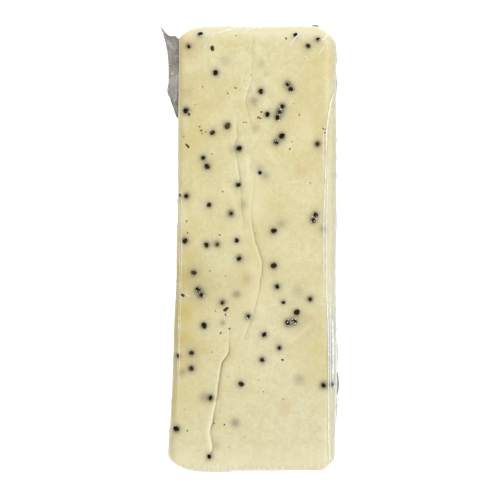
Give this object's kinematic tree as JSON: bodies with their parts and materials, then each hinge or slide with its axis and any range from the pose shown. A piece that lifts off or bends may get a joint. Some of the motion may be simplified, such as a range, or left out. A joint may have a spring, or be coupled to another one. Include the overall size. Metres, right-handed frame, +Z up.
{
  "type": "peppered cheese slab in clear film",
  "caption": "Long slab of pale fresh cheese with whole black peppercorns, skin-tight in clear shrink film with a free film ear at one corner.",
  "frame": {"origin": "middle of the flat face that the slab rests on", "axes": "+Y along the slab towards the end with the film's ear, +X across it to the right as seen from above, +Z up out of the broad face that shows"},
  "size_m": [0.1199, 0.3026, 0.0471],
  "materials": {
    "cheese": "moist pale butter-yellow cheese under clear film, with dark peppercorns",
    "film": "clear doubled shrink film, greyish where it stands free"
  },
  "bodies": {
    "root": {"cheese_slab": "cheese", "film_ear": "film"}
  },
  "joints": []
}
